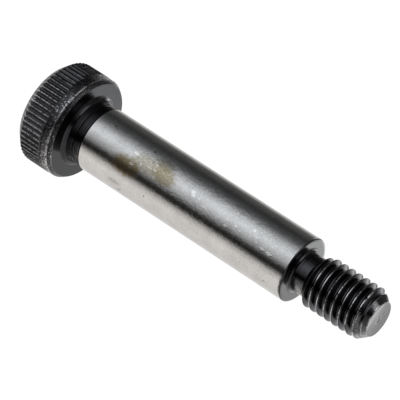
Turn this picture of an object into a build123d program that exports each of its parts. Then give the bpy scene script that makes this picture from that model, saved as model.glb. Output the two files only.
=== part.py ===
from build123d import *
import math
import os

os.makedirs("parts", exist_ok=True)

# Hexagon socket head shoulder bolt: one turned, knurled, threaded and ground piece.
# Frame: Z along the bolt's axis, origin at the centre of the head's flat top.
# The bolt stands on its head and the thread points up. Millimetres.

# ---- driving dimensions -------------------------------------------------
shoulder_d = 10.0          # ground shoulder, diameter
shoulder_len = 40.1        # bearing face to the end of the shoulder (40 +0.25/0)
thread_d = 8.0             # M8 thread, nominal major diameter
thread_pitch = 1.25        # coarse pitch, right-hand
thread_len = 13.25         # end of the shoulder to the tip
head_d = 16.06             # plain band of the head
head_h = 6.90              # flat top to bearing face (7.00 to 6.64)
knurl_d = 16.17            # over the knurl's crests

top_chamfer_r = 1.32       # chamfer round the head's flat top, radially
top_chamfer_z = 1.36       # and along the axis
knurl_n = 62               # straight knurl, grooves round the head
knurl_depth = 0.27         # groove depth below the crests
knurl_start = 3.82         # bearing of the first groove from +X, degrees
knurl_z1 = 4.55            # grooves reach full depth up to here
knurl_run = 0.40           # and run out over this length
band_z = 5.10              # plain band starts here

rim_chamfer_r = 0.48       # chamfer round the bearing face, radially
rim_chamfer_z = 0.64       # and along the axis

neck_d = 9.42              # relief between head and shoulder
neck_end = 2.60            # bearing face to the end of the relief
neck_fillet = 1.10         # fillet at the relief's root
lead_in = 0.30             # cone from the relief out to the shoulder

end_chamfer = 0.10         # chamfer at the shoulder's free end
thread_neck_d = 6.10       # relief between shoulder and thread
thread_neck_len = 2.35     # shoulder's end face to the thread
thread_neck_r = 0.55       # fillet at its root
run_in = 0.79              # cone from the relief up to the thread's crests

tip_d = 5.46               # flat face of the thread's tip
tip_cone = 1.55            # length of the tip's chamfer
tip_mark_d = 1.15          # shallow round mark in the middle of the tip face
tip_mark_depth = 0.05

socket_af = 5.05           # hexagon socket, across flats
socket_depth = 4.20        # depth of the hexagon's flats
socket_mouth_d = 6.10      # mouth chamfer, outer diameter
socket_drill_d = 4.85      # hole drilled before the hexagon is punched
socket_cone = 118.0        # its point at the bottom, included angle

# ---- derived heights ----------------------------------------------------
z_face = head_h
z_neck_end = head_h + neck_end
z_shoulder = z_neck_end + lead_in
z_end = head_h + shoulder_len
z_thread = z_end + thread_neck_len
z_tip = z_end + thread_len

r_head = head_d / 2
r_knurl = knurl_d / 2
r_shoulder = shoulder_d / 2
r_neck = neck_d / 2
r_tneck = thread_neck_d / 2
r_thread = thread_d / 2
r_tip = tip_d / 2
r_mark = tip_mark_d / 2


# ---- turned body --------------------------------------------------------
def p(r, z):
    return (r, 0, z)


def arc(c_r, c_z, radius, start_deg, end_deg):
    pts = []
    for t in (start_deg, (start_deg + end_deg) / 2, end_deg):
        t = math.radians(t)
        pts.append(p(c_r + radius * math.cos(t), c_z + radius * math.sin(t)))
    return ThreePointArc(*pts)


profile = [
    Polyline(
        p(0, 0),
        p(r_knurl - top_chamfer_r, 0),
        p(r_knurl, top_chamfer_z),
        p(r_knurl, band_z - 0.12),
        p(r_head, band_z),
        p(r_head, z_face - rim_chamfer_z),
        p(r_head - rim_chamfer_r, z_face),
        p(r_neck + neck_fillet, z_face),
    ),
    arc(r_neck + neck_fillet, z_face + neck_fillet, neck_fillet, 270, 180),
    Polyline(
        p(r_neck, z_face + neck_fillet),
        p(r_neck, z_neck_end),
        p(r_shoulder, z_shoulder),
        p(r_shoulder, z_end - end_chamfer),
        p(r_shoulder - end_chamfer, z_end),
        p(r_tneck + thread_neck_r, z_end),
    ),
    arc(r_tneck + thread_neck_r, z_end + thread_neck_r, thread_neck_r, 270, 180),
    Polyline(
        p(r_tneck, z_end + thread_neck_r),
        p(r_tneck, z_thread),
        p(r_thread, z_thread + run_in),
        p(r_thread, z_tip - tip_cone),
        p(r_tip, z_tip),
        p(r_mark, z_tip),
        p(r_mark - 0.15, z_tip - tip_mark_depth),
        p(0, z_tip - tip_mark_depth),
        p(0, 0),
    ),
]

section = make_face([edge for piece in profile for edge in piece.edges()])
body = revolve(section, Axis.Z, 360)

# ---- straight knurl: V grooves round the head ---------------------------
half = math.pi / knurl_n * r_knurl * 0.86          # half width of a groove at the crests
out = 0.30
tri = [
    (r_knurl - knurl_depth, 0.0),
    (r_knurl + out, half * (knurl_depth + out) / knurl_depth),
    (r_knurl + out, -half * (knurl_depth + out) / knurl_depth),
]
groove_face = make_face(Polyline(*[(x, y, -1.0) for x, y in tri], close=True))
prism = extrude(groove_face, amount=knurl_z1 + knurl_run + 1.0, dir=(0, 0, 1))
# the grooves' floor: full depth, then a ramp up to the crests
r_in = r_knurl - knurl_depth - 0.2
floor = make_face(
    Polyline(
        p(r_in, -2.0),
        p(r_knurl + 1.0, -2.0),
        p(r_knurl + 1.0, knurl_z1 + knurl_run * (1 + 1.0 / knurl_depth)),
        p(r_knurl - knurl_depth, knurl_z1),
        p(r_in, knurl_z1),
        close=True,
    )
)
groove = prism & revolve(floor, Axis.Z, 360)
body = body - [Rot(0, 0, knurl_start + 360.0 / knurl_n * i) * groove for i in range(knurl_n)]

# ---- hexagon socket in the head's flat top ------------------------------
r_corner = socket_af / math.sqrt(3)
hex_cut = extrude(
    Plane.XY * RegularPolygon(radius=r_corner, side_count=6, major_radius=True),
    amount=socket_depth,
)
r_drill = socket_drill_d / 2
cone_h = r_drill / math.tan(math.radians(socket_cone / 2))
drill = Pos(0, 0, socket_depth + cone_h / 2) * Cone(r_drill, 0.0, cone_h)
mouth_h = (socket_mouth_d / 2 - socket_af / 2) * math.tan(math.radians(30))
mouth = Pos(0, 0, mouth_h / 2) * Cone(socket_mouth_d / 2, socket_af / 2, mouth_h)
body = body - hex_cut - drill - mouth

solids = body.solids()
print("solids", len(solids), "volume", round(body.volume, 2), "valid", body.is_valid)
bb = body.bounding_box()
print("box", bb.min, bb.max)

shoulder_bolt = solids[0]
export_step(shoulder_bolt, "parts/shoulder_bolt.step")
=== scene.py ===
"""Shoulder bolt: the visual model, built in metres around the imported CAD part."""

import math

import bpy
import numpy as np
from mathutils import Matrix, Vector


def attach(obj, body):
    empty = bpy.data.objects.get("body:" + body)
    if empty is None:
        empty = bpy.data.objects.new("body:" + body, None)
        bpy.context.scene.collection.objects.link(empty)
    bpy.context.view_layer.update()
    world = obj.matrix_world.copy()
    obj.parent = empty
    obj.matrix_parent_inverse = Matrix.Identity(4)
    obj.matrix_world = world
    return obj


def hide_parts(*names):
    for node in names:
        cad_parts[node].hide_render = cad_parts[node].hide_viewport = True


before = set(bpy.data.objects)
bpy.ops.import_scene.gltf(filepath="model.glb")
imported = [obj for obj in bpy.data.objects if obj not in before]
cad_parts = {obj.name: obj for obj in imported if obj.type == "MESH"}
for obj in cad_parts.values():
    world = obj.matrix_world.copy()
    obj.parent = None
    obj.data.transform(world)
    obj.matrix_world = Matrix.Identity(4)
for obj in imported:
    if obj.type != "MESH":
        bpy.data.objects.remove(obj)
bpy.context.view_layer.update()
TAU = 2 * math.pi

# ---------------------------------------------------------------- sizes, mm
R_HEAD, R_KNURL, HEAD_H = 8.03, 8.085, 6.90
TOP_CH_R, TOP_CH_Z = 1.32, 1.36
R_RIM, Z_RIM, R_FACE = 8.03, 6.26, 7.55
KNURL_N, KNURL_DEPTH, KNURL_PHASE = 62, 0.27, math.radians(0.92)
KNURL_Z1, KNURL_RUN = 4.55, 0.40
R_NECK, NECK_END, NECK_FILLET = 4.71, 2.60, 1.10
R_SHOULDER, Z_SHOULDER, Z_END = 5.0, 9.80, 47.0
END_CHAMFER = 0.13
R_TNECK, TNECK_LEN, TNECK_R = 3.05, 2.35, 0.55
RUN_IN = 1.20
PITCH, R_CREST, R_ROOT, THREAD_PHASE = 1.25, 3.96, 3.245, -2.0
Z_TIP, R_TIP, TIP_CONE = 60.25, 2.73, 1.50
SOCKET_AF, SOCKET_DEPTH, SOCKET_MOUTH = 5.05, 4.20, 3.05

rng = np.random.default_rng(7)


# ---------------------------------------------------------------- mesh maker
class Maker:
    """Rings of points joined into one closed surface. Points in mm, angles in radians."""

    def __init__(self):
        self.co, self.faces, self.mats = [], [], []
        self.attr = {"wear": [], "crest": []}

    def points(self, phi, r, z, wear=0.0, crest=0.0):
        phi = np.asarray(phi, float)
        r = np.broadcast_to(np.asarray(r, float), phi.shape)
        z = np.broadcast_to(np.asarray(z, float), phi.shape)
        first = len(self.co)
        for a, b, c in zip(phi, r, z):
            self.co.append((b * math.cos(a), b * math.sin(a), c))
        for name, value in (("wear", wear), ("crest", crest)):
            self.attr[name].extend(np.broadcast_to(np.asarray(value, float), phi.shape).tolist())
        return np.arange(first, first + len(phi)), phi

    def face(self, ids, mat):
        out = []
        for i in ids:
            if not out or out[-1] != i:
                out.append(int(i))
        if len(out) > 1 and out[0] == out[-1]:
            out.pop()
        if len(set(out)) >= 3:
            self.faces.append(tuple(out))
            self.mats.append(mat)

    def strip(self, a, b, mat):
        """Joins two rings with the same number of points."""
        a, b = a[0], b[0]
        n = len(a)
        for j in range(n):
            k = (j + 1) % n
            self.face((a[j], a[k], b[k], b[j]), mat)

    def zip(self, a, b, mat):
        """Joins two rings whose numbers of points differ."""
        (ia, pa), (ib, pb) = a, b
        na, nb = len(ia), len(ib)
        pa = np.unwrap(np.append(pa, pa[0] + TAU))
        pb = np.unwrap(np.append(pb, pb[0] + TAU))
        shift = round((pb[0] - pa[0]) / TAU) * TAU
        pb = pb - shift
        # start both rings near the same angle
        j0 = int(np.argmin(np.abs(((pb[:-1] - pa[0] + math.pi) % TAU) - math.pi)))
        ib = np.roll(ib, -j0)
        pb0 = pb[:-1][j0]
        pb = np.concatenate([pb[:-1][j0:], pb[:-1][:j0] + TAU, [pb0 + TAU]])
        pb = pb - round((pb[0] - pa[0]) / TAU) * TAU
        i = j = 0
        while i < na or j < nb:
            step_a = i < na and (j >= nb or pa[i + 1] <= pb[j + 1])
            if step_a:
                self.face((ia[i % na], ia[(i + 1) % na], ib[j % nb]), mat)
                i += 1
            else:
                self.face((ia[i % na], ib[(j + 1) % nb], ib[j % nb]), mat)
                j += 1

    def join(self, a, b, mat):
        (self.strip if len(a[0]) == len(b[0]) else self.zip)(a, b, mat)
        return b

    def open_fan(self, apex_z, ring, mat):
        c, _ = self.points([0.0], 0.0, apex_z)
        ids = ring[0]
        n = len(ids)
        for j in range(n):
            self.face((c[0], ids[(j + 1) % n], ids[j]), mat)

    def close_fan(self, ring, apex_z, mat):
        c, _ = self.points([0.0], 0.0, apex_z)
        ids = ring[0]
        n = len(ids)
        for j in range(n):
            self.face((ids[j], ids[(j + 1) % n], c[0]), mat)


def even(n):
    return np.arange(n) * TAU / n


OXIDE, FACE, NECK, STEEL, THREAD, TIP, ENDFACE, SOCKET = range(8)
m = Maker()

# ---------------------------------------------------------------- socket
n_hex = 96
phi = even(n_hex)
fold = (phi + math.pi / 6) % (math.pi / 3) - math.pi / 6      # angle from the nearest corner at 0
r_hex = (SOCKET_AF / 2) / np.cos(math.pi / 6 - np.abs(fold))
r_hex = np.minimum(r_hex, SOCKET_AF / math.sqrt(3) - 0.035)
drill_r = SOCKET_AF / 2 - 0.10
z_mouth = (SOCKET_MOUTH - r_hex) * math.tan(math.radians(30))

inner = m.points(even(24), 0.35, SOCKET_DEPTH + (drill_r - 0.35) / math.tan(math.radians(59)))
m.open_fan(SOCKET_DEPTH + (drill_r - 0.20) / math.tan(math.radians(59)), inner, SOCKET)
prev = m.join(inner, m.points(even(48), 1.2, SOCKET_DEPTH + (drill_r - 1.2) / math.tan(math.radians(59))), SOCKET)
prev = m.join(prev, m.points(phi, drill_r - 0.03, SOCKET_DEPTH + 0.02), SOCKET)
prev = m.join(prev, m.points(phi, drill_r, SOCKET_DEPTH), SOCKET)
prev = m.join(prev, m.points(phi, r_hex - 0.04, SOCKET_DEPTH), SOCKET)
prev = m.join(prev, m.points(phi, r_hex, SOCKET_DEPTH - 0.04), SOCKET)
for zz in (3.4, 2.6, 1.8, 1.0):
    prev = m.join(prev, m.points(phi, r_hex, zz), SOCKET)
prev = m.join(prev, m.points(phi, r_hex, z_mouth + 0.03), SOCKET)
prev = m.join(prev, m.points(phi, r_hex + 0.02, z_mouth), SOCKET)
prev = m.join(prev, m.points(phi, SOCKET_MOUTH - 0.03, 0.02), SOCKET)
prev = m.join(prev, m.points(phi, SOCKET_MOUTH + 0.02, 0.0), OXIDE)
prev = m.join(prev, m.points(even(120), 3.4, 0.0), OXIDE)
prev = m.join(prev, m.points(even(240), 5.2, 0.0), OXIDE)

# ---------------------------------------------------------------- head
# eight columns to a tooth: crest, its shoulders, flanks and the valley between
tooth_t = np.array([0.0, 0.09, 0.20, 0.34, 0.5, 0.66, 0.80, 0.91])
tooth_d = np.array([0.0, 0.065, 0.165, 0.25, 0.285, 0.25, 0.165, 0.065]) / 0.285
crest_w = np.array([1.0, 0.15, 0.0, 0.0, 0.0, 0.0, 0.0, 0.15])
teeth = np.arange(KNURL_N)
phi_h = (KNURL_PHASE + (teeth[:, None] + tooth_t[None, :]) * TAU / KNURL_N).ravel()
t_depth = np.tile(tooth_d, KNURL_N)
t_crest = np.tile(crest_w, KNURL_N)
vary_depth = np.repeat(rng.uniform(0.85, 1.08, KNURL_N), 8)
vary_end = np.repeat(rng.uniform(-0.14, 0.12, KNURL_N), 8)
crest_rub = np.repeat(rng.uniform(0.5, 1.0, KNURL_N), 8)


def wave(phi, z, seed, n=9, k=14):
    """A smooth random wander round the head, from -1 to 1."""
    g = np.random.default_rng(seed)
    out = np.zeros_like(phi)
    for _ in range(n):
        out = out + g.normal() * np.sin(g.integers(1, k) * phi + g.uniform(0, TAU) + z * g.uniform(-2, 2))
    return out / math.sqrt(n / 2) / 2


def lump(phi, centre, half):
    """A soft bump of wear about one bearing, in degrees from the -Y side towards +X."""
    d = (np.degrees(phi) + 90.0 - centre + 180.0) % 360.0 - 180.0
    return np.exp(-(d / half) ** 2)


crest_rub = crest_rub * np.clip(0.42 + 0.90 * lump(phi_h, -8, 20) + 0.80 * lump(phi_h, 34, 22) + 0.80 * lump(phi_h, -80, 12)
                                + 0.45 * lump(phi_h, 165, 35) + 0.30 * lump(phi_h, -140, 25), 0.0, 1.25)
flat_rub = 0.12 + 0.30 * lump(phi_h, -82, 11)


def head_ring(r_body, z, wear=0.0, edge=0.0):
    """One ring of the head's side, with the knurl's grooves cut where they reach."""
    ramp = np.clip((KNURL_Z1 + KNURL_RUN + vary_end - z) / KNURL_RUN, 0.0, 1.0)
    cut = KNURL_DEPTH * vary_depth * t_depth * ramp
    r = np.minimum(r_body, R_KNURL - cut) if z < KNURL_Z1 + KNURL_RUN + 0.2 else np.full_like(phi_h, r_body)
    c = np.maximum(t_crest * ramp * crest_rub * (1.0 if z > 0.35 else 0.0), edge)
    return m.points(phi_h, r, z, wear=wear, crest=c)


drift = np.clip(0.5 + 0.5 * wave(phi_h, 0.0, 5, k=22), 0, 1)
# the rim is rubbed bright in stretches, with dull oxide between them
rub = np.clip(0.12 + 0.38 * drift + 0.90 * lump(phi_h, -9, 14) + 0.80 * lump(phi_h, 36, 17)
              + 0.60 * lump(phi_h, 66, 16) + 0.30 * lump(phi_h, -34, 5) - 0.30 * lump(phi_h, 11, 6)
              + 0.45 * lump(phi_h, 170, 22) + 0.22 * lump(phi_h, -66, 8) + 0.40 * lump(phi_h, -82, 9) - 0.30 * lump(phi_h, -43, 6) - 0.3 * lump(phi_h, -110, 18), 0.0, 1.0)
graze = np.clip(0.20 + 0.18 * drift + 0.08 * lump(phi_h, -10, 11) + 0.15 * lump(phi_h, 62, 18) - 0.10 * lump(phi_h, -28, 9)
                + 0.20 * lump(phi_h, 150, 30) + 0.30 * lump(phi_h, -74, 12), 0.0, 0.6)
# the chamfer is scuffed less, and its inner edge only in one stretch
scuff = np.clip(0.12 + 0.12 * drift + 0.10 * lump(phi_h, -33, 10) + 0.16 * lump(phi_h, 24, 9) + 0.15 * lump(phi_h, 60, 18), 0.0, 0.5)
lip = np.clip(0.65 * lump(phi_h, 49, 10), 0.0, 1.0)

ch = lambda t: (R_KNURL - TOP_CH_R + t * TOP_CH_R, t * TOP_CH_Z)
prev = m.join(prev, m.points(phi_h, R_KNURL - TOP_CH_R - 0.20, 0.0), OXIDE)
prev = m.join(prev, m.points(phi_h, R_KNURL - TOP_CH_R - 0.04, 0.0, wear=0.3), OXIDE)
for t, ww in ((0.03, 0.45), (0.07, 0.3), (0.30, 0.12), (0.60, 0.12), (0.80, 0.15), (0.93, 0.25), (0.98, 0.4)):
    rr, zz = ch(t)
    prev = m.join(prev, head_ring(rr, zz, wear=ww), OXIDE)
for zz in (1.39, 1.46, 1.9, 2.5, 3.1, 3.7, 4.2, 4.45, 4.6, 4.72, 4.84, 4.96):
    prev = m.join(prev, head_ring(R_KNURL, zz, wear=flat_rub * (1.12 - 0.08 * zz)), OXIDE)
prev = m.join(prev, head_ring(R_KNURL - 0.01, 5.04, wear=graze * 0.8), OXIDE)
prev = m.join(prev, head_ring(R_HEAD, 5.12, wear=graze * 0.9), OXIDE)
dr, dz = R_RIM - R_FACE, HEAD_H - Z_RIM
for rr, zz, ww, ee in (
    (R_RIM, 5.45, graze * 0.9, 0.0),
    (R_RIM, 5.85, graze, 0.0),
    (R_RIM, 6.02, graze * 1.1, 0.0),
    (R_RIM, Z_RIM - 0.150, graze * 1.15, rub * 0.18),
    (R_RIM, Z_RIM - 0.085, graze * 1.15, rub * 0.75),
    (R_RIM - 0.004, Z_RIM - 0.034, graze * 1.2, rub * 1.30),
    (R_RIM - 0.026, Z_RIM + 0.022, graze * 1.2, rub * 1.30),
    (R_RIM - 0.085, Z_RIM + 0.066, scuff, rub * 0.40),
    (R_RIM - dr * 0.28 + 0.010, Z_RIM + dz * 0.28 + 0.012, scuff, 0.0),
    (R_RIM - dr * 0.50 + 0.014, Z_RIM + dz * 0.50 + 0.018, scuff, 0.0),
    (R_RIM - dr * 0.75 + 0.010, Z_RIM + dz * 0.75 + 0.014, scuff * 1.1, 0.0),
    (R_RIM - dr * 0.90 + 0.004, Z_RIM + dz * 0.90 + 0.006, scuff * 1.1, lip * 0.5),
    (R_FACE + 0.030, HEAD_H - 0.018, scuff, lip),
    (R_FACE - 0.010, HEAD_H - 0.002, scuff * 0.5, lip * 0.5),
    (R_FACE - 0.05, HEAD_H, 0.0, 0.0),
):
    prev = m.join(prev, head_ring(rr, zz, wear=ww, edge=ee), OXIDE)

# ---------------------------------------------------------------- bearing face, neck
n_b = 240
ph = even(n_b)
for rr in (7.2, 6.6, 6.2, R_NECK + NECK_FILLET - 0.07):
    prev = m.join(prev, m.points(ph, rr, HEAD_H), FACE)
c_r, c_z = R_NECK + NECK_FILLET, HEAD_H + NECK_FILLET
# the turned corner: a nearly conical foot, then a quick bend into the neck
side_b = (np.degrees(ph) + 270.0) % 360.0 - 180.0
# painted highlight: bare metal on the foot around -100 and in a broad band on the neck around +68, laid where these
# parts are to look lit
foot_sheen = 0.34 * np.exp(-((side_b + 100) / 15.0) ** 2)
neck_sheen = 0.12 * np.exp(-((side_b - 68) / 26.0) ** 2)
for off_face, rise, mat in ((0.95, 0.000, FACE), (0.91, 0.008, FACE), (0.85, 0.038, FACE), (0.74, 0.104, NECK), (0.57, 0.214, NECK),
                            (0.42, 0.330, NECK), (0.32, 0.425, NECK), (0.262, 0.525, NECK), (0.228, 0.625, NECK)):
    prev = m.join(prev, m.points(ph, R_NECK + off_face, HEAD_H + rise, crest=foot_sheen if 0.25 < off_face < 0.8 else 0.0), mat)
z = HEAD_H + 0.67
k = 0
while z < HEAD_H + NECK_END - 0.03:
    prev = m.join(prev, m.points(ph, R_NECK + max(0.0, 0.215 * (HEAD_H + 1.50 - z) / 0.83) + 0.010 * math.sin(z * 24.0 + 1.4 * math.sin(z * 5.0)) + 0.006 * math.sin(z * 11.0), z, crest=neck_sheen), NECK)
    z += 0.05
    k += 1
prev = m.join(prev, m.points(ph, R_NECK, HEAD_H + NECK_END), NECK)
prev = m.join(prev, m.points(ph, R_NECK + 0.02, HEAD_H + NECK_END + 0.02), NECK)
prev = m.join(prev, m.points(ph, R_SHOULDER - 0.035, Z_SHOULDER - 0.035), NECK)
prev = m.join(prev, m.points(ph, R_SHOULDER - 0.008, Z_SHOULDER + 0.0), STEEL)
prev = m.join(prev, m.points(ph, R_SHOULDER, Z_SHOULDER + 0.04), STEEL)

# ---------------------------------------------------------------- shoulder
for zz in (9.95, 11, 14, 18, 22, 26, 30, 34, 38, 42, 45, 46.5):
    prev = m.join(prev, m.points(ph, R_SHOULDER, zz), STEEL)
prev = m.join(prev, m.points(ph, R_SHOULDER, Z_END - END_CHAMFER - 0.02), STEEL)
prev = m.join(prev, m.points(ph, R_SHOULDER - 0.010, Z_END - END_CHAMFER + 0.008), THREAD)
prev = m.join(prev, m.points(ph, R_SHOULDER - END_CHAMFER + 0.008, Z_END - 0.010), THREAD)
prev = m.join(prev, m.points(ph, R_SHOULDER - END_CHAMFER - 0.015, Z_END), ENDFACE)
for rr in (4.5, 4.1, R_TNECK + TNECK_R + 0.04):
    prev = m.join(prev, m.points(ph, rr, Z_END), ENDFACE)
c_r, c_z = R_TNECK + TNECK_R, Z_END + TNECK_R
for deg in (0, 9, 24, 40, 56, 72, 90):
    t = math.radians(deg)
    prev = m.join(prev, m.points(ph, c_r - TNECK_R * math.sin(t), c_z - TNECK_R * math.cos(t)), THREAD)
# painted highlight: bare metal in bands at both sides (+90 and -88) of the relief neck, laid where it is to look lit
relief_sheen = 0.95 * np.exp(-((side_b - 90) / 30.0) ** 2) + 0.95 * np.exp(-((side_b + 88) / 14.0) ** 2)
for zz, share in ((Z_END + 0.8, 0.5), (Z_END + 1.2, 1.0), (Z_END + 1.7, 1.0), (Z_END + 2.15, 0.6)):
    prev = m.join(prev, m.points(ph, R_TNECK, zz, crest=relief_sheen * share), THREAD)

# ---------------------------------------------------------------- thread
Z_T0 = Z_END + TNECK_LEN
s_rows = np.array([0.0, 0.03, 0.058, 0.08, 0.12, 0.18, 0.25, 0.32, 0.37, 0.41, 0.455,
                   0.5, 0.545, 0.59, 0.63, 0.68, 0.75, 0.82, 0.88, 0.92, 0.942, 0.97])
K = len(s_rows)


def soft_min(a, b, w):
    h = np.clip(0.5 + 0.5 * (b - a) / w, 0, 1)
    return b * (1 - h) + a * h - w * h * (1 - h)


def soft_max(a, b, w):
    return -soft_min(-a, -b, w)


def near_side(side, centre, half):
    d = (side - centre + 180.0) % 360.0 - 180.0
    return math.exp(-(d / half) ** 2)


def thread_r(s, phi, z):
    """Radius at phase s of the thread (0 at a crest), angle phi and height z."""
    d = np.abs((s + 0.5) % 1.0 - 0.5) * PITCH
    flank = R_CREST - (d - PITCH / 16) * math.tan(math.radians(60))
    if 58.2 < z[0] < 59.2:
        # the last whole crest is beaten over on its tip side
        past = np.maximum(((s + 0.5) % 1.0 - 0.5) * PITCH, 0.0)
        flank = np.minimum(flank, R_CREST - (0.03 + 0.85 * past) * near_side(math.degrees(phi) + 90.0, -35, 17))
    r = soft_max(flank, np.full_like(flank, R_ROOT), 0.10)
    r = soft_min(r, np.full_like(r, R_CREST), 0.035)
    # run-in from the relief, and the cone of the tip
    run = R_TNECK + (z - Z_T0) * RUN_IN
    r = soft_min(r, run, 0.06)
    cone = R_TIP + (Z_TIP - z) * (R_CREST - R_TIP) / TIP_CONE - 0.08 * near_side(math.degrees(phi) + 90.0, 84, 38)
    over = float((r - cone)[0])
    r = soft_min(r, cone, 0.05)
    return float(np.where(z <= Z_T0 + 1e-6, R_TNECK, np.where(z >= Z_TIP - 1e-6, R_TIP, r))[0]), over


base = m.points(ph, R_TNECK, Z_T0)
prev = m.join(prev, base, THREAD)
tip_side = np.degrees(ph) + 90.0
top = m.points(ph, R_TIP - 0.08 * np.exp(-((((tip_side - 84) + 180) % 360 - 180) / 38.0) ** 2), Z_TIP, crest=0.28 + 0.42 * np.exp(-((((tip_side + 5) + 180) % 360 - 180) / 36.0) ** 2))
EPS = 0.025
# crest k is at z = 9.8 + PITCH * ((phi - THREAD_PHASE) / TAU + k)
k_lo = int(math.floor((Z_T0 - Z_SHOULDER) / PITCH + THREAD_PHASE / TAU)) - 2
k_hi = int(math.ceil((Z_TIP - Z_SHOULDER) / PITCH + THREAD_PHASE / TAU)) + 2
rows = [(k, i) for k in range(k_lo, k_hi) for i in range(K)]
grid = {}


def thread_vertex(row, j):
    """Vertex of helical row number `row` at column j; column n_b is column 0 one pitch up."""
    if j == n_b:
        return thread_vertex(row + K, 0)
    key = (row, j)
    if key in grid:
        return grid[key]
    kk, i = divmod(row, K)
    s = kk + k_lo + s_rows[i]
    z = Z_SHOULDER + PITCH * ((ph[j] - THREAD_PHASE) / TAU + s)
    if z < Z_T0 + EPS:
        grid[key] = base[0][j]
    elif z > Z_TIP - EPS:
        grid[key] = top[0][j]
    else:
        r, over = thread_r(np.array([s]), ph[j], np.array([z]))
        off = (s + 0.5) % 1.0 - 0.5                         # below 0 on the head's side of the crest
        full = r > 3.80
        c = 1.0 if -0.085 < off < 0.020 and full else (0.45 if -0.125 < off < 0.045 and full else 0.0)
        c *= 0.68 + 0.22 * math.sin(7.0 * ph[j] + 2.3 * kk)
        side = math.degrees(ph[j]) + 90.0
        side = (side + 180.0) % 360.0 - 180.0
        w = 0.0
        low = 1.0 / (1.0 + math.exp(-(side - 44.0) / 7.0)) if side < 150 else 0.0
        if 58.05 < z < 59.25 and abs(off) < 0.36:
            # the last whole crest is knocked and scuffed
            w = 0.60 * near_side(side, 24, 32) * math.exp(-((off - 0.11) / 0.13) ** 2)
            w = max(w, 0.45 * near_side(side, -12, 12) * math.exp(-((off - 0.04) / 0.12) ** 2))
            w = max(w, 0.45 * near_side(side, 68, 16) * math.exp(-((off + 0.12) / 0.20) ** 2))
            c = max(c, 1.0 * near_side(side, -35, 13) * math.exp(-((off - 0.04) / 0.06) ** 2))
            w = max(w, 0.60 * near_side(side, 34, 15) * math.exp(-((off + 0.02) / 0.08) ** 2))
        if z > 59.2:
            # the edge where the last groove runs out on the cone
            edge = math.exp(-((over - 0.17) / 0.15) ** 2)
            c = max(c, (0.34 + 0.36 * near_side(side, 42, 14)) * edge)
            c = max(c, 0.75 * near_side(side, -30, 11) * edge)
            c = max(c, 0.40 * near_side(side, -86, 12))
        if z > 59.56 and over > 0.02:
            c = max(c, (0.12 if z < 59.74 else 0.22) * near_side(side, -27, 11) * (0.6 + 0.4 * math.sin(z * 30.0)))
        if z > 58.85:
            c = max(c, min((z - 58.85) / 0.25, 1.0) * (0.15 * low + 0.03 * near_side(side, 88, 14)))
        if z > 60.10:
            c = max(c, (z - 60.10) / 0.12 * (0.28 + 0.42 * near_side(side, -20, 24) + 0.45 * near_side(side, 22, 18)))
        ids, _ = m.points([ph[j]], r, z, wear=w, crest=c)
        grid[key] = ids[0]
    return grid[key]


for row in range(len(rows)):
    for j in range(n_b):
        quad = (thread_vertex(row, j), thread_vertex(row, j + 1), thread_vertex(row + 1, j + 1), thread_vertex(row + 1, j))
        if len(set(quad)) >= 3:
            m.face(quad, THREAD)

# ---------------------------------------------------------------- tip face
prev = m.join(top, m.points(even(120), R_TIP - 0.16, Z_TIP + 0.0), TIP)
prev = m.join(prev, m.points(even(60), 1.6, Z_TIP), TIP)
wob = even(48)
mark = 0.52 + 0.07 * np.sin(2 * wob + 0.6) + 0.04 * np.sin(3 * wob + 2.0)
nick = np.exp(-(((np.degrees(wob) - 190 + 180) % 360 - 180) / 24.0) ** 2)
lip = 0.85 + 0.35 * np.cos(wob - math.radians(105))
prev = m.join(prev, m.points(wob, mark + 0.20, Z_TIP), TIP)
prev = m.join(prev, m.points(wob, mark + 0.13, Z_TIP - 0.004, crest=0.75 * lip), TIP)
prev = m.join(prev, m.points(wob, mark + 0.03, Z_TIP - 0.014, crest=lip * (1.0 - nick), wear=1.5 * nick), TIP)
prev = m.join(prev, m.points(wob, mark - 0.08, Z_TIP - 0.030, wear=0.85 + 1.6 * nick), TIP)
prev = m.join(prev, m.points(wob, mark - 0.20, Z_TIP - 0.036, wear=0.75 + 1.4 * nick), TIP)
prev = m.join(prev, m.points(even(24), mark[::2] * 0.35, Z_TIP - 0.037, wear=0.30), TIP)
m.close_fan(prev, Z_TIP - 0.036, TIP)

# ---------------------------------------------------------------- object
mesh = bpy.data.meshes.new("shoulder_bolt_visual")
mesh.from_pydata([tuple(c * 0.001 for c in v) for v in m.co], [], m.faces)
for name, values in m.attr.items():
    a = mesh.attributes.new(name, "FLOAT", "POINT")
    a.data.foreach_set("value", np.array(values, np.float32))
mesh.polygons.foreach_set("material_index", np.array(m.mats, np.int32))
mesh.polygons.foreach_set("use_smooth", np.ones(len(m.faces), bool))
mesh.update()
bolt = bpy.data.objects.new("shoulder_bolt_visual", mesh)
bpy.context.scene.collection.objects.link(bolt)
print("faces", len(m.faces), "triangles", sum(len(f) - 2 for f in m.faces), "vertices", len(m.co))


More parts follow.
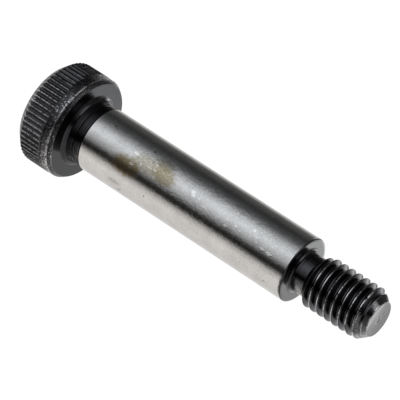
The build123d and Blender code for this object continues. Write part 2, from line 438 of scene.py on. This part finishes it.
# ---------------------------------------------------------------- node helpers
class Tree:
    """A node tree with short calls; every call returns the output socket it makes."""

    def __init__(self, owner):
        owner.use_nodes = True
        self.nt = owner.node_tree

    def new(self, kind, **settings):
        n = self.nt.nodes.new(kind)
        for key, value in settings.items():
            setattr(n, key, value)
        return n

    def put(self, value, socket):
        if isinstance(value, bpy.types.NodeSocket):
            self.nt.links.new(value, socket)
        elif isinstance(value, tuple) and len(value) == 3 and socket.type == "RGBA":
            socket.default_value = (*value, 1)
        elif isinstance(value, (int, float)) and socket.type == "RGBA":
            socket.default_value = (value, value, value, 1)
        else:
            socket.default_value = value

    def math(self, op, a, b=None, clamp=False):
        n = self.new("ShaderNodeMath", operation=op, use_clamp=clamp)
        self.put(a, n.inputs[0])
        if b is not None:
            self.put(b, n.inputs[1])
        return n.outputs[0]

    def add(self, a, b, clamp=False):
        return self.math("ADD", a, b, clamp)

    def mul(self, a, b, clamp=False):
        return self.math("MULTIPLY", a, b, clamp)

    def ramp(self, fac, stops, how="LINEAR"):
        n = self.new("ShaderNodeValToRGB")
        n.color_ramp.interpolation = how
        el = n.color_ramp.elements
        while len(el) > 1:
            el.remove(el[-1])
        for i, (pos, col) in enumerate(stops):
            col = (col, col, col) if isinstance(col, (int, float)) else col
            e = el[0] if i == 0 else el.new(pos)
            e.position = pos
            e.color = (*col, 1)
        self.put(fac, n.inputs[0])
        return n.outputs[0]

    def range(self, value, lo, hi, to_lo=0.0, to_hi=1.0, how="LINEAR"):
        n = self.new("ShaderNodeMapRange", interpolation_type=how)
        for v, i in ((value, 0), (lo, 1), (hi, 2), (to_lo, 3), (to_hi, 4)):
            self.put(v, n.inputs[i])
        return n.outputs[0]

    def mix(self, f, a, b, blend="MIX"):
        n = self.new("ShaderNodeMix", data_type="RGBA", blend_type=blend)
        for i, v in ((0, f), (6, a), (7, b)):
            self.put(v, n.inputs[i])
        return n.outputs[2]

    def noise(self, vector, scale, detail=2.0, rough=0.5, dims="3D"):
        n = self.new("ShaderNodeTexNoise", noise_dimensions=dims)
        self.put(vector, n.inputs["W" if dims == "1D" else "Vector"])
        self.put(scale, n.inputs["Scale"])
        self.put(detail, n.inputs["Detail"])
        self.put(rough, n.inputs["Roughness"])
        return n.outputs[0]

    def vec(self, x, y, z):
        n = self.new("ShaderNodeCombineXYZ")
        for i, v in enumerate((x, y, z)):
            self.put(v, n.inputs[i])
        return n.outputs[0]

    def attribute(self, name):
        return self.new("ShaderNodeAttribute", attribute_name=name).outputs["Fac"]


def tint(v, warm):
    """A grey of brightness v, warmer above 0 and cooler below."""
    return (v * (1 + 0.022 * warm), v, v * (1 - 0.022 * warm))


# ---------------------------------------------------------------- materials
class Finish(Tree):
    """A finish on the bolt, with its coordinates in mm: mm (a point), radius, height and round (mm along R5)."""

    def __init__(self, name):
        self.mat = bpy.data.materials.new(name)
        super().__init__(self.mat)
        self.bsdf = self.nt.nodes["Principled BSDF"]
        tc = self.new("ShaderNodeTexCoord")
        n = self.new("ShaderNodeVectorMath", operation="SCALE")
        self.put(tc.outputs["Object"], n.inputs[0])
        n.inputs["Scale"].default_value = 1000.0
        self.mm = n.outputs[0]
        sep = self.new("ShaderNodeSeparateXYZ")
        self.put(self.mm, sep.inputs[0])
        self.x, self.y, self.z = sep.outputs
        self.radius = self.math("SQRT", self.add(self.mul(self.x, self.x), self.mul(self.y, self.y)))
        self.round = self.mul(self.math("ARCTAN2", self.x, self.mul(self.y, -1.0)), 5.0)

    def spread(self, value, gain=2.4):
        """Stretches a noise from its usual middle to most of 0 to 1."""
        return self.add(self.mul(self.add(value, -0.5), gain), 0.5, clamp=True)

    def bump(self, height, depth_mm, strength=1.0, onto=None):
        n = self.new("ShaderNodeBump")
        n.inputs["Strength"].default_value = strength
        n.inputs["Distance"].default_value = depth_mm * 0.001
        self.put(height, n.inputs["Height"])
        if onto is not None:
            self.put(onto, n.inputs["Normal"])
        return n.outputs[0]

    def blob(self, height, degrees, half_len, half_round, ragged=0.0, grain=1.6, lean=0.0):
        """A soft-edged patch of the shoulder, centred at a height and a bearing from -Y towards +X."""
        dz = self.add(self.z, -height)
        da = self.add(self.round, -math.radians(degrees) * 5.0)
        if lean:
            da = self.add(da, self.mul(dz, -lean))
        u = self.mul(dz, 1.0 / half_len)
        v = self.mul(da, 1.0 / half_round)
        d = self.math("SQRT", self.add(self.mul(u, u), self.mul(v, v)))
        if ragged:
            d = self.add(d, self.mul(self.add(self.noise(self.mm, grain, 4.0, 0.62), -0.5), -ragged))
        return self.range(d, 1.25, 0.55, how="SMOOTHSTEP")

    def painted_x_shade(self, color, factor):
        """Painted shade: the +X half of a face, made darker."""
        return self.mix(self.range(self.x, -2.0, 3.5, how="SMOOTHSTEP"), color, self.mix(1.0, color, (factor,) * 3, "MULTIPLY"))

    def set(self, color, metallic, rough, normal=None):
        self.put(color, self.bsdf.inputs["Base Color"])
        self.put(metallic, self.bsdf.inputs["Metallic"])
        self.put(rough, self.bsdf.inputs["Roughness"])
        if normal is not None:
            self.put(normal, self.bsdf.inputs["Normal"])
        return self.mat


def oxide(name, dark, light, rough, grain=0.010, rub_at=1.0, metal=(0.74, 0.73, 0.72), turned=0.0, turn_scale=5.0,
          bare_gain=7.0, finer=0.55, x_shade=None, rough_bare=0.0, edge_tint=None, broken=0.7):
    """Black oxide on steel: cloudy tone, fine pitting, and bare metal where `wear` and `crest` say."""
    f = Finish(name)
    fine = f.spread(f.noise(f.mm, 4.4, 2.0, 0.55), 2.8)
    micro = f.spread(f.noise(f.mm, 11.0, 2.0, 0.6))
    cloud = f.spread(f.noise(f.mm, 0.55, 3.0, 0.6), 2.0)
    tone = f.add(f.mul(cloud, 0.45), f.mul(fine, 0.55))
    base = f.mix(tone, dark, light)
    wear = f.attribute("wear")
    crest = f.attribute("crest")
    worn = f.mul(f.add(f.add(f.add(f.mul(fine, 1.0 - finer), f.mul(micro, finer)), wear), -rub_at), bare_gain, clamp=True)
    edge = f.mul(f.mul(crest, f.range(f.add(f.mul(fine, broken), f.mul(cloud, 1.2 - broken)), 0.36, 0.66)), 1.7, clamp=True)
    bare = f.math("MAXIMUM", worn, edge)
    color = f.mix(bare, base, f.mix(micro, tuple(0.72 * c for c in metal), metal))
    height = f.add(f.mul(fine, 0.6), f.mul(micro, 0.4))
    normal = f.bump(height, grain)
    if turned:
        lines = f.noise(f.radius if name.endswith("face") else f.z, turn_scale, 2.0, 0.6, dims="1D")
        normal = f.bump(lines, turned, onto=normal)
        color = f.mix(f.range(f.spread(lines), 0.0, 1.0, 0.0, 0.35), color, f.mix(0.5, color, light))
    # painted shade: the +X half of the face is made darker
    if x_shade is not None:
        color = f.painted_x_shade(color, x_shade)
    r = f.range(f.add(f.mul(fine, 0.5), f.mul(cloud, 0.5)), 0.0, 1.0, rough - 0.07, rough + 0.08)
    r = f.add(r, f.add(f.mul(edge, -0.08), f.mul(worn, rough_bare)))
    if edge_tint is not None:
        f.put((edge_tint,) * 3, f.bsdf.inputs["Specular Tint"])
    return f.set(color, 1.0, r, normal)


def ground_steel():
    """The ground shoulder: fine circumferential lines, faint mottling, a brown stain and scattered flecks."""
    f = Finish("ground_steel")
    grain = f.spread(f.noise(f.mm, 4.6, 2.0, 0.5), 2.8)
    mottle = f.spread(f.noise(f.mm, 1.3, 4.0, 0.62))
    cloud = f.spread(f.noise(f.mm, 0.22, 2.0, 0.5))
    along = f.vec(f.mul(f.x, 0.22), f.mul(f.y, 0.22), f.mul(f.z, 7.0))
    lines = f.spread(f.noise(along, 1.0, 3.0, 0.6))
    coarse = f.spread(f.noise(f.mm, 3.0, 3.0, 0.7))
    tone = f.add(f.add(f.mul(grain, 0.36), f.mul(lines, 0.26)), f.add(f.mul(mottle, 0.14), f.mul(coarse, 0.24)))
    color = f.mix(tone, (0.50, 0.49, 0.48), (0.75, 0.74, 0.73))
    color = f.mix(f.mul(cloud, 0.25), color, (0.60, 0.585, 0.565))
    color = f.mix(1.0, color, f.range(f.spread(f.noise(f.mm, 0.45, 2.0, 0.5)), 0.0, 1.0, 0.93, 1.07), "MULTIPLY")

    # a thin brown film in patches, darker towards the head, that the gloss still shows through
    speck = f.range(f.noise(f.mm, 5.0, 3.0, 0.7), 0.36, 0.58, 0.62, 1.0)
    olive = f.mul(f.blob(17.7, 14.5, 2.7, 1.45, ragged=1.0, grain=1.8, lean=-0.02), speck)
    tan = f.mul(f.blob(23.7, -5.5, 2.1, 1.40, ragged=1.0, grain=1.8, lean=0.05), speck)
    haze = f.mul(f.blob(20.9, -6, 3.0, 1.45, ragged=1.0, grain=1.8), f.mul(speck, 0.85))
    color = f.mix(f.mul(haze, 0.9), color, (0.41, 0.365, 0.255))
    color = f.mix(f.mul(f.mul(f.blob(22.9, -22.5, 1.7, 0.85, ragged=1.0, grain=1.8), speck), 0.8), color, (0.24, 0.215, 0.155))
    color = f.mix(f.mul(tan, 0.95), color, (0.340, 0.285, 0.170))
    color = f.mix(olive, color, (0.255, 0.185, 0.070))
    pepper = f.mul(f.range(f.noise(f.mm, 4.0, 2.0, 0.5), 0.43, 0.37), f.blob(21.0, -9, 3.0, 1.1, ragged=0.8))
    color = f.mix(f.mul(pepper, 0.55), color, (0.14, 0.13, 0.10))
    stain = f.math("MAXIMUM", olive, f.mul(f.math("MAXIMUM", tan, haze), 0.45))

    # pale dry flecks over and beside the stain
    near = f.blob(20.6, -4, 4.6, 1.35, ragged=0.8, lean=-0.16)
    far = f.math("MAXIMUM", f.blob(29.5, -10, 2.4, 0.9, ragged=0.8), f.blob(38.5, -8, 7.0, 1.5, ragged=0.9))
    sparkle = f.range(f.noise(f.mm, 4.6, 3.0, 0.7), 0.58, 0.68, 0.0, 0.7)
    sparse = f.range(f.noise(f.mm, 4.2, 3.0, 0.65), 0.56, 0.66, 0.0, 0.55)
    spots = f.math("MAXIMUM", f.mul(sparkle, near), f.mul(sparse, far))
    dry = 0.0
    for zc, deg, hl, hr, much in (
            (18.2, -13, 0.50, 0.26, 0.9), (18.35, 6.5, 0.42, 0.13, 1.0), (19.7, -1.5, 0.18, 0.12, 0.8), (21.9, -15, 0.40, 0.13, 0.5),
            (21.1, -5, 0.50, 0.13, 0.35), (22.1, -5.6, 0.30, 0.16, 0.5), (28.9, -10.0, 0.40, 0.28, 0.9), (29.2, -5.8, 0.36, 0.26, 0.85),
            (30.2, -5.8, 0.26, 0.13, 0.6), (31.4, -12, 0.20, 0.15, 0.35), (35.5, -4, 0.24, 0.14, 0.45), (35.75, 7.7, 0.38, 0.14, 0.9),
            (37.15, -1, 0.24, 0.18, 1.0), (38.0, 2.9, 0.18, 0.12, 0.6), (39.9, -11.4, 0.22, 0.20, 1.0), (39.8, -0.5, 0.20, 0.13, 0.5),
            (41.0, 3.8, 0.24, 0.17, 1.0), (42.35, 7.3, 0.42, 0.17, 1.0), (43.6, 7.8, 0.55, 0.18, 1.0), (40.7, -4.0, 0.20, 0.13, 0.7), (31.5, 1.0, 0.50, 0.12, 0.7), (36.3, -21.0, 0.20, 0.12, 0.7), (43.5, -4.6, 0.20, 0.11, 0.5)):
        spot = f.mul(f.blob(zc, deg, hl, hr, ragged=0.9, grain=3.0), much)
        spots = f.math("MAXIMUM", spots, spot)
        if deg > 2:
            dry = f.math("MAXIMUM", dry, spot)
    color = f.mix(f.mul(spots, 0.75), color, (0.98, 0.97, 0.95))

    # small dark smudges and pits
    dark = f.range(f.noise(f.mm, 2.4, 2.0, 0.5), 0.745, 0.79)
    for zc, deg, hl, hr in ((16.6, 52, 1.15, 0.42), (22.1, 43, 0.16, 0.16), (44.1, 56, 0.34, 0.13),
                            (17.4, 66, 0.45, 0.20), (12.7, -33, 0.20, 0.12), (20.2, -32, 0.20, 0.18)):
        dark = f.math("MAXIMUM", dark, f.mul(f.blob(zc, deg, hl, hr, ragged=0.7, grain=2.5), 0.70 if hl < 1 else 0.32))
    color = f.mix(dark, color, (0.13, 0.12, 0.11))

    metal = f.mul(f.range(stain, 0.0, 1.0, 1.0, 0.82), f.range(dry, 0.0, 1.0, 1.0, 0.6))
    r = f.range(f.add(f.mul(lines, 0.5), f.mul(mottle, 0.5)), 0.0, 1.0, 0.115, 0.205)
    r = f.add(r, f.add(f.mul(stain, 0.05), f.mul(spots, 0.05)))
    normal = f.bump(lines, 0.0007)
    normal = f.bump(grain, 0.0042, onto=normal)
    # the side with the stain is slightly uneven, the rest is smoother
    uneven = f.blob(31.5, -14.0, 15.0, 3.2, ragged=0.4)
    normal = f.bump(f.mul(f.add(mottle, -0.5), f.range(uneven, 0.0, 1.0, 0.55, 1.15)), 0.012, onto=normal)
    normal = f.bump(f.mul(f.add(coarse, -0.5), uneven), 0.0075, onto=normal)
    normal = f.bump(f.mul(dry, f.add(mottle, 0.4)), 0.030, onto=normal)
    return f.set(color, metal, r, normal)


def cut_steel(name, dark, light, rough, pitch, depth, x_shade=None, painted_light=None):
    """A lathe-cut end: rings round the axis over a cloudy grey."""
    f = Finish(name)
    fine = f.spread(f.noise(f.mm, 5.0, 4.0, 0.68))
    cloud = f.spread(f.noise(f.mm, 0.8, 3.0, 0.55))
    rings = f.spread(f.noise(f.radius, pitch, 3.0, 0.7, dims="1D"))
    tone = f.add(f.add(f.mul(fine, 0.3), f.mul(cloud, 0.35)), f.mul(rings, 0.35))
    worn = f.mul(f.attribute("wear"), 0.4, clamp=True)
    color = f.mix(tone, dark, light)
    # painted light: the -Y side of the face is made lighter, and painted shade darkens the face towards +Y
    if painted_light is not None:
        side = f.add(f.y, f.mul(f.x, 0.12))
        patch = f.mul(f.range(side, -0.75, -2.00, how="SMOOTHSTEP"), f.range(f.radius, 0.70, 0.95, how="SMOOTHSTEP"))
        color = f.mix(patch, color, painted_light)
        color = f.mix(1.0, color, f.range(f.y, -1.0, 1.8, 1.0, 0.65), "MULTIPLY")
    # painted shade: the +X half of the face is made darker
    if x_shade is not None:
        color = f.painted_x_shade(color, x_shade)
    color = f.mix(f.mul(f.attribute("crest"), 0.8), color, (0.34, 0.345, 0.345))
    color = f.mix(worn, color, (0.05, 0.05, 0.05))
    r = f.range(tone, 0.0, 1.0, rough - 0.06, rough + 0.08)
    normal = f.bump(rings, depth)
    normal = f.bump(fine, depth * 0.8, onto=normal)
    return f.set(color, 1.0, r, normal)


mats = [
    oxide("black_oxide", (0.034, 0.033, 0.037), (0.088, 0.086, 0.092), 0.33, grain=0.016, finer=0.38, bare_gain=8.0, rough_bare=0.05),
    # oxide_face: painted shade on its +X half
    oxide("oxide_face", (0.074, 0.076, 0.080), (0.090, 0.092, 0.096), 0.17, grain=0.0015, turned=0.0008, turn_scale=6.0, x_shade=0.36),
    oxide("neck_oxide", (0.026, 0.0248, 0.0275), (0.061, 0.059, 0.0645), 0.15, grain=0.002, turned=0.004, turn_scale=3.2, edge_tint=0.62, broken=0.2),
    ground_steel(),
    oxide("thread_oxide", (0.049, 0.048, 0.052), (0.075, 0.073, 0.079), 0.14, grain=0.003, rub_at=1.0, bare_gain=5.0, finer=0.75, rough_bare=0.34, broken=0.25),
    # tip_steel: painted light on its -Y side and painted shade towards +Y
    cut_steel("tip_steel", (0.118, 0.118, 0.122), (0.172, 0.172, 0.177), 0.30, 5.0, 0.004, painted_light=(0.300, 0.300, 0.309)),
    # end_face: painted shade on its +X half
    cut_steel("end_face", (0.120, 0.125, 0.121), (0.165, 0.171, 0.166), 0.15, 5.0, 0.001, x_shade=0.62),
    oxide("socket_oxide", (0.045, 0.045, 0.047), (0.085, 0.084, 0.087), 0.34, grain=0.008),
]
for mt in mats:
    mesh.materials.append(mt)

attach(bolt, "root")
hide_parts("shoulder_bolt")

# ---------------------------------------------------------------- stage
floor_mesh = bpy.data.meshes.new("floor")
# open just under the head, so that the head's flat top can be looked at from below
ring = [(r * math.cos(a), r * math.sin(a), 0.0) for r in (0.0092, 3.0) for a in even(72)]
floor_mesh.from_pydata(ring, [], [(j, 72 + j, 72 + (j + 1) % 72, (j + 1) % 72) for j in range(72)])
floor = bpy.data.objects.new("floor", floor_mesh)
bpy.context.scene.collection.objects.link(floor)
fm = bpy.data.materials.new("pale_floor")
fm.use_nodes = True
nt = fm.node_tree
nt.nodes.clear()
out = nt.nodes.new("ShaderNodeOutputMaterial")
em = nt.nodes.new("ShaderNodeEmission")
em.inputs["Color"].default_value = (1, 1, 1, 1)
em.inputs["Strength"].default_value = 1.05
nt.links.new(em.outputs[0], out.inputs[0])
floor_mesh.materials.append(fm)
floor.visible_glossy = False
floor.visible_diffuse = False
floor.visible_shadow = False

# ---------------------------------------------------------------- studio
# soft panels all round: bearings run from -Y (0) towards +X (90)
world = bpy.data.worlds.new("studio")
bpy.context.scene.world = world
w = Tree(world)
w.nt.nodes.clear()
tc = w.new("ShaderNodeTexCoord")
sep = w.new("ShaderNodeSeparateXYZ")
w.put(tc.outputs["Generated"], sep.inputs[0])
x, y, z = sep.outputs
bearing = w.math("ARCTAN2", x, w.mul(y, -1.0))
fac = w.add(w.math("DIVIDE", bearing, TAU), 0.5)


def at(deg):
    return deg / 360.0 + 0.5


# below the horizon: a cool panel, a black flag, a long warm panel and a dark gap, from left to right
lower = w.ramp(fac, [
    (at(-180), tint(0.84, 0)), (at(-156), tint(0.72, 0)), (at(-132), tint(0.125, 0)),
    (at(-92), tint(0.032, -0.5)), (at(-67), tint(0.102, -2)), (at(-58), tint(0.215, -2)), (at(-48), tint(0.43, -2)), (at(-38), tint(0.74, -2)),
    (at(-18), tint(1.03, -2)), (at(12), tint(0.44, -1)), (at(28), tint(0.040, 1)),
    (at(37), tint(0.010, 2)), (at(47), tint(0.02, 2)), (at(60), tint(0.62, 1)),
    (at(78), tint(0.95, 1)), (at(125), tint(0.82, 1)), (at(180), tint(0.84, 0)),
])
# above the horizon: a panel on the right that rises towards the front, one high on the left, a tall one at the back
deg = w.mul(bearing, 180.0 / math.pi)
right_tone = w.ramp(fac, [(at(20), 0.32), (at(60), 0.50), (at(90), 0.62), (at(115), 0.80), (at(140), 1.05), (at(155), 1.45), (at(180), 1.25)])
right = w.range(w.add(deg, w.mul(z, 116.0)), 106.0, 131.0, how="SMOOTHSTEP")
right = w.mul(right, w.range(deg, 6.0, 16.0))
left_el = w.ramp(z, [(0.0, 0.03), (0.12, 0.16), (0.40, 0.26), (0.60, 0.18), (0.85, 0.20), (0.95, 0.35), (1.0, 0.20)])
front = w.range(w.math("ABSOLUTE", deg), 88.0, 58.0, how="SMOOTHSTEP")
left = w.mix(w.mul(front, w.range(z, 0.80, 0.70)), left_el, 0.03)
bx, by = w.mul(w.add(x, 0.56), 1 / 0.23), w.mul(w.add(y, 0.30), 1 / 0.34)
box = w.math("SQRT", w.add(w.mul(bx, bx), w.mul(by, by)))
box = w.mul(w.range(box, 1.20, 0.75, how="SMOOTHSTEP"), w.range(z, 0.45, 0.58))
left = w.mix(box, left, 1.35)
back_left = w.ramp(z, [(0.0, 0.10), (0.08, 0.35), (0.16, 2.2), (0.31, 2.2), (0.42, 1.25), (0.50, 0.85), (0.58, 0.22), (0.75, 0.15), (1.0, 0.15)])
tail = w.range(w.add(deg, w.mul(w.range(z, 0.36, 0.50), -11.0)), -141.0, -154.0, how="SMOOTHSTEP")
tail = w.mul(tail, w.range(z, 0.95, 0.80))
upper = w.mix(right, w.mix(tail, left, back_left), right_tone)
gap = w.mul(w.range(w.math("ABSOLUTE", x), 0.20, 0.08, how="SMOOTHSTEP"), w.range(z, 0.58, 0.74))
upper = w.mix(gap, upper, 0.03)
# a white strip just below the horizon at the back left
strip = w.mul(w.range(deg, -114.0, -136.0, how="SMOOTHSTEP"),
              w.mul(w.range(z, -0.34, -0.20, how="SMOOTHSTEP"), w.range(z, -0.06, -0.14, how="SMOOTHSTEP")))
gap_left = w.mul(w.mul(w.range(deg, -112.0, -124.0), w.range(deg, -158.0, -148.0)), w.range(z, -0.14, -0.06))
low = w.mix(gap_left, w.mix(strip, lower, 2.0), 0.06)
dim = w.mul(w.range(deg, 48.0, 64.0), w.range(deg, 134.0, 112.0))
low = w.mix(w.mul(dim, w.range(z, -0.36, -0.24, how="SMOOTHSTEP")), low, 0.16)
above = w.range(z, -0.05, 0.06, how="SMOOTHSTEP")
sky = w.mix(above, low, upper)
bg = w.new("ShaderNodeBackground")
w.put(sky, bg.inputs["Color"])
bg.inputs["Strength"].default_value = 1.0
white = w.new("ShaderNodeBackground")
white.inputs["Color"].default_value = (1, 1, 1, 1)
white.inputs["Strength"].default_value = 1.05
lp = w.new("ShaderNodeLightPath")
ms = w.new("ShaderNodeMixShader")
w.put(lp.outputs["Is Camera Ray"], ms.inputs[0])
w.put(bg.outputs[0], ms.inputs[1])
w.put(white.outputs[0], ms.inputs[2])
wo = w.new("ShaderNodeOutputWorld")
w.put(ms.outputs[0], wo.inputs["Surface"])

# ---------------------------------------------------------------- camera
# the axis tips 25.7 degrees towards the camera, which is rolled so that +Z runs down to the right
TILT, ROLL = 0.448727, 0.575278
FOCAL_PX, DIST, OFF_X, OFF_Y = 2758.26, 394.552, -14.0196, -8.5510
axis = Vector((math.cos(TILT) * math.cos(ROLL), math.cos(TILT) * math.sin(ROLL), -math.sin(TILT)))
ex = Vector((-math.sin(ROLL), math.cos(ROLL), 0))
ey = axis.cross(ex)
to_cam = Matrix((ex, ey, axis)).transposed()            # row frame to camera: x right, y down, z ahead
shift = Vector((OFF_X, OFF_Y, DIST)) - axis * Z_SHOULDER
centre = -(to_cam.transposed() @ shift) * 0.001
flip = Matrix(((1, 0, 0), (0, -1, 0), (0, 0, -1)))
rot = to_cam.transposed() @ flip
cam_data = bpy.data.cameras.new("camera")
cam_data.sensor_fit = "HORIZONTAL"
cam_data.sensor_width = 36.0
cam_data.lens = FOCAL_PX / 400 * 36.0
cam_data.clip_start = 0.01
cam_data.clip_end = 20
cam = bpy.data.objects.new("camera", cam_data)
bpy.context.scene.collection.objects.link(cam)
cam.matrix_world = Matrix.Translation(centre) @ rot.to_4x4()
bpy.context.scene.camera = cam

vs = bpy.context.scene.view_settings
vs.view_transform = "Standard"
vs.look = "None"
vs.exposure = 0.0
vs.gamma = 1.0
